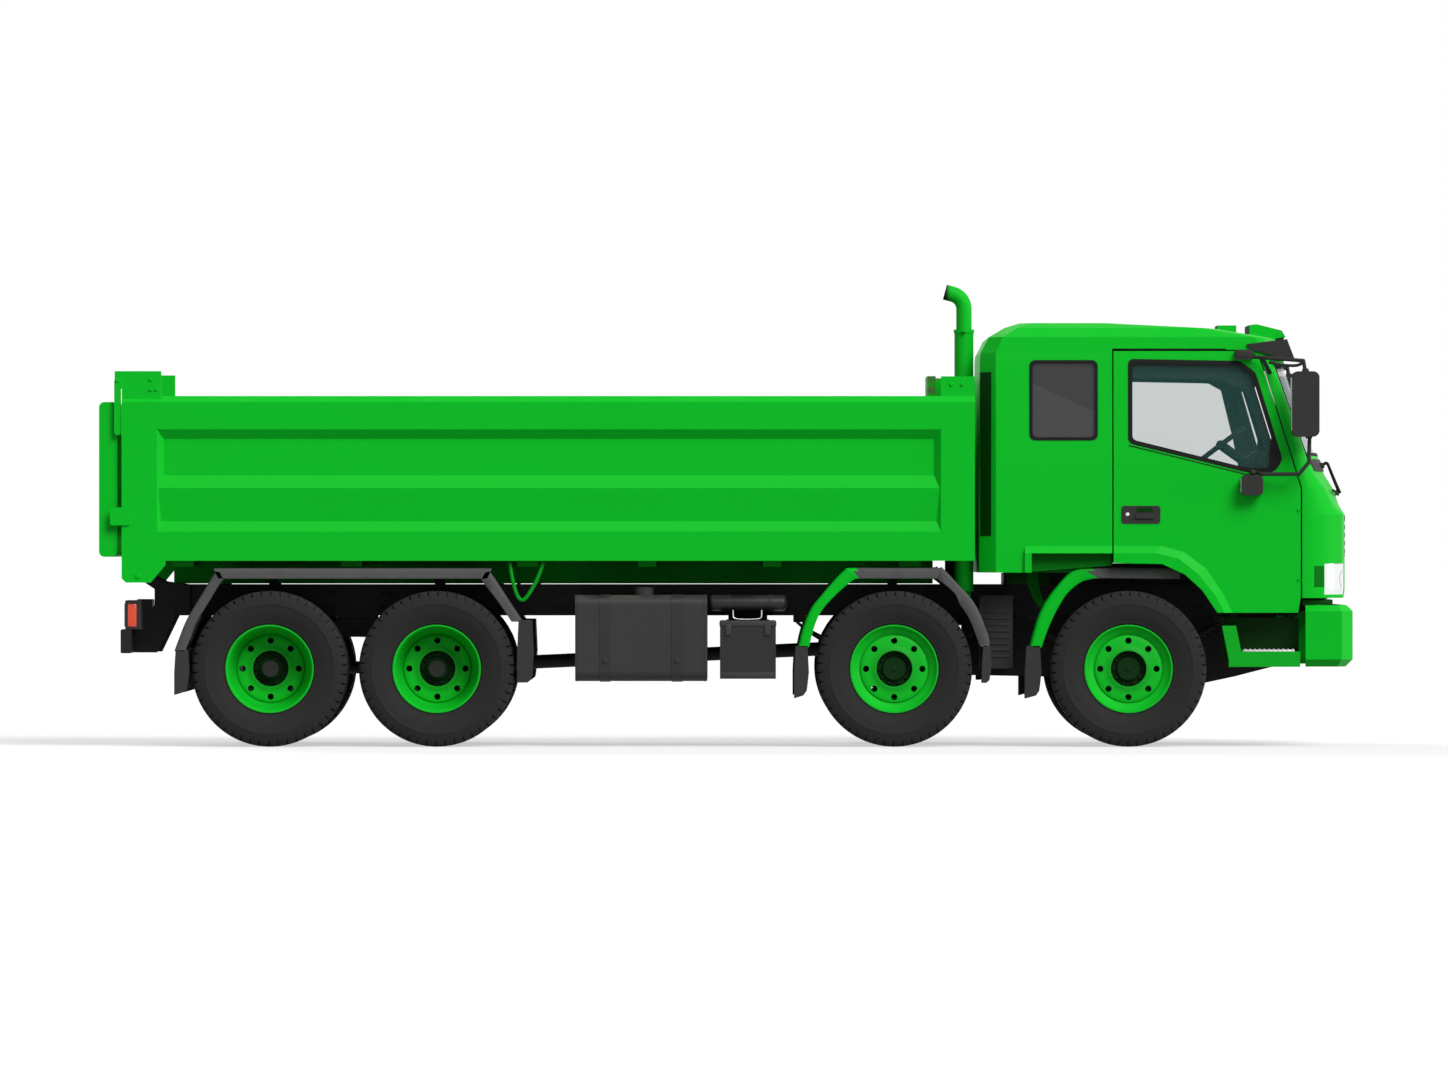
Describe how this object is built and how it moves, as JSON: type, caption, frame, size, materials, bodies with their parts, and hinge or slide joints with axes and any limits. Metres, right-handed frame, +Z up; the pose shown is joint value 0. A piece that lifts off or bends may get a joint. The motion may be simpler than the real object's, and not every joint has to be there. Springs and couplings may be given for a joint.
{
  "type": "dump truck",
  "caption": "Rigid heavy dump truck with a tilting cab, steered front axles, driven tandem and a long tipping load bed with a top-hung tailgate.",
  "frame": {"origin": "on the ground, midway between the tailgate and the front bumper, on the centre line", "axes": "+X forward, +Y to the left side of the truck, +Z up"},
  "size_m": [9.038, 2.98, 3.3374],
  "materials": {
    "tyre_rubber": "matte",
    "rim_paint": "satin",
    "chassis_paint": "satin",
    "cast_metal": "matte",
    "equipment_black": "satin",
    "guard_plastic": "matte",
    "body_paint": "satin",
    "under_paint": "satin",
    "black_plastic": "matte",
    "clear_glass": "polished",
    "lamp_clear": "gloss",
    "lamp_orange": "gloss",
    "seat_fabric": "woven",
    "hoist_steel": "satin"
  },
  "bodies": {
    "chassis": {"frame_rails": "chassis_paint", "crossmembers": "chassis_paint", "axles": "chassis_paint", "leaf_springs": "chassis_paint", "driveshaft": "chassis_paint", "engine": "cast_metal", "fuel_tanks": "equipment_black", "equipment_boxes": "equipment_black", "air_tanks": "equipment_black", "exhaust_stack": "body_paint", "mudguards": "guard_plastic", "front_bumper": "body_paint", "cab_steps": "under_paint", "underrun_bar": "chassis_paint", "tail_lamps": "lamp_orange"},
    "cab": {"cab_floor": "under_paint", "cab_rear_wall": "body_paint", "cab_roof": "body_paint", "cab_sides": "body_paint", "cab_front": "body_paint", "cab_glass": "clear_glass", "headlamps": "lamp_clear", "sun_visor": "black_plastic", "dashboard": "black_plastic", "seats": "seat_fabric"},
    "left_door": {"left_door": "body_paint", "left_door_glass": "clear_glass", "left_mirrors": "black_plastic"},
    "right_door": {"right_door": "body_paint", "right_door_glass": "clear_glass", "right_mirrors": "black_plastic"},
    "load_bed": {"bed_floor": "under_paint", "bed_sides": "body_paint", "headboard": "body_paint"},
    "tailgate": {"tailgate": "body_paint"},
    "hoist_barrel": {"hoist_barrel": "hoist_steel"},
    "hoist_stage_1": {"hoist_stage_1": "hoist_steel"},
    "hoist_stage_2": {"hoist_stage_2": "hoist_steel"},
    "hoist_stage_3": {"hoist_stage_3": "hoist_steel"},
    "wheel_1_left": {"tyre_1_left": "tyre_rubber", "rim_1_left": "rim_paint"},
    "knuckle_1_left": {"knuckle_1_left": "chassis_paint"},
    "wheel_1_right": {"tyre_1_right": "tyre_rubber", "rim_1_right": "rim_paint"},
    "knuckle_1_right": {"knuckle_1_right": "chassis_paint"},
    "wheel_2_left": {"tyre_2_left": "tyre_rubber", "rim_2_left": "rim_paint"},
    "knuckle_2_left": {"knuckle_2_left": "chassis_paint"},
    "wheel_2_right": {"tyre_2_right": "tyre_rubber", "rim_2_right": "rim_paint"},
    "knuckle_2_right": {"knuckle_2_right": "chassis_paint"},
    "wheel_3_left": {"tyre_3_left": "tyre_rubber", "rim_3_left": "rim_paint"},
    "wheel_3_right": {"tyre_3_right": "tyre_rubber", "rim_3_right": "rim_paint"},
    "wheel_4_left": {"tyre_4_left": "tyre_rubber", "rim_4_left": "rim_paint"},
    "wheel_4_right": {"tyre_4_right": "tyre_rubber", "rim_4_right": "rim_paint"}
  },
  "joints": [
    {"name": "cab_tilt", "type": "hinge", "parent": "chassis", "child": "cab", "pos_m": [4.39, 0, 1.1], "axis": [0, 1, 0], "range_deg": [0, 50]},
    {"name": "left_door_hinge", "type": "hinge", "parent": "cab", "child": "left_door", "pos_m": [4.12, 1.237, 1.5], "axis": [0, 0, -1], "range_deg": [0, 70]},
    {"name": "right_door_hinge", "type": "hinge", "parent": "cab", "child": "right_door", "pos_m": [4.12, -1.237, 1.5], "axis": [0, 0, 1], "range_deg": [0, 70]},
    {"name": "bed_tip", "type": "hinge", "parent": "chassis", "child": "load_bed", "pos_m": [-4.235, 0, 1.231], "axis": [0, -1, 0], "range_deg": [0, 45]},
    {"name": "tailgate_swing", "type": "hinge", "parent": "load_bed", "child": "tailgate", "pos_m": [-4.38, 0, 2.64], "axis": [0, 1, 0], "range_deg": [0, 60]},
    {"name": "hoist_tilt", "type": "hinge", "parent": "chassis", "child": "hoist_barrel", "pos_m": [1.69, 0, 1.05], "axis": [0, -1, 0], "range_deg": [0, 26.88]},
    {"name": "hoist_slide_1", "type": "slide", "parent": "hoist_barrel", "child": "hoist_stage_1", "axis": [0, 0, 1], "range_m": [0, 1.479]},
    {"name": "hoist_slide_2", "type": "slide", "parent": "hoist_stage_1", "child": "hoist_stage_2", "axis": [0, 0, 1], "range_m": [0, 1.479]},
    {"name": "hoist_slide_3", "type": "slide", "parent": "hoist_stage_2", "child": "hoist_stage_3", "axis": [0, 0, 1], "range_m": [0, 1.479]},
    {"name": "steer_1_left", "type": "hinge", "parent": "chassis", "child": "knuckle_1_left", "pos_m": [2.899, 0.96, 0.562], "axis": [0, 0, 1], "range_deg": [-35, 35]},
    {"name": "spin_1_left", "type": "hinge", "parent": "knuckle_1_left", "child": "wheel_1_left", "pos_m": [2.899, 1.09, 0.562], "axis": [0, 1, 0], "continuous": true},
    {"name": "steer_1_right", "type": "hinge", "parent": "chassis", "child": "knuckle_1_right", "pos_m": [2.899, -0.96, 0.562], "axis": [0, 0, 1], "range_deg": [-35.02, 35.02]},
    {"name": "spin_1_right", "type": "hinge", "parent": "knuckle_1_right", "child": "wheel_1_right", "pos_m": [2.899, -1.09, 0.562], "axis": [0, 1, 0], "continuous": true},
    {"name": "steer_2_left", "type": "hinge", "parent": "chassis", "child": "knuckle_2_left", "pos_m": [1.211, 0.96, 0.562], "axis": [0, 0, 1], "range_deg": [-24.52, 24.52]},
    {"name": "spin_2_left", "type": "hinge", "parent": "knuckle_2_left", "child": "wheel_2_left", "pos_m": [1.211, 1.09, 0.562], "axis": [0, 1, 0], "continuous": true},
    {"name": "steer_2_right", "type": "hinge", "parent": "chassis", "child": "knuckle_2_right", "pos_m": [1.211, -0.96, 0.562], "axis": [0, 0, 1], "range_deg": [-24.52, 24.52]},
    {"name": "spin_2_right", "type": "hinge", "parent": "knuckle_2_right", "child": "wheel_2_right", "pos_m": [1.211, -1.09, 0.562], "axis": [0, 1, 0], "continuous": true},
    {"name": "spin_3_left", "type": "hinge", "parent": "chassis", "child": "wheel_3_left", "pos_m": [-2.086, 1.09, 0.562], "axis": [0, 1, 0], "continuous": true},
    {"name": "spin_3_right", "type": "hinge", "parent": "chassis", "child": "wheel_3_right", "pos_m": [-2.086, -1.09, 0.562], "axis": [0, 1, 0], "continuous": true},
    {"name": "spin_4_left", "type": "hinge", "parent": "chassis", "child": "wheel_4_left", "pos_m": [-3.29, 1.09, 0.562], "axis": [0, 1, 0], "continuous": true},
    {"name": "spin_4_right", "type": "hinge", "parent": "chassis", "child": "wheel_4_right", "pos_m": [-3.29, -1.09, 0.562], "axis": [0, 1, 0], "continuous": true}
  ],
  "couplings": [
    {"joint": "hoist_tilt", "follows": "bed_tip", "ratio": 0.59682},
    {"joint": "hoist_slide_1", "follows": "bed_tip", "m_per_rad": 1.8818},
    {"joint": "hoist_slide_2", "follows": "bed_tip", "m_per_rad": 1.8818},
    {"joint": "hoist_slide_3", "follows": "bed_tip", "m_per_rad": 1.8818},
    {"joint": "steer_1_right", "follows": "steer_1_left", "ratio": 1},
    {"joint": "steer_2_left", "follows": "steer_1_left", "ratio": 0.7},
    {"joint": "steer_2_right", "follows": "steer_1_left", "ratio": 0.7}
  ]
}
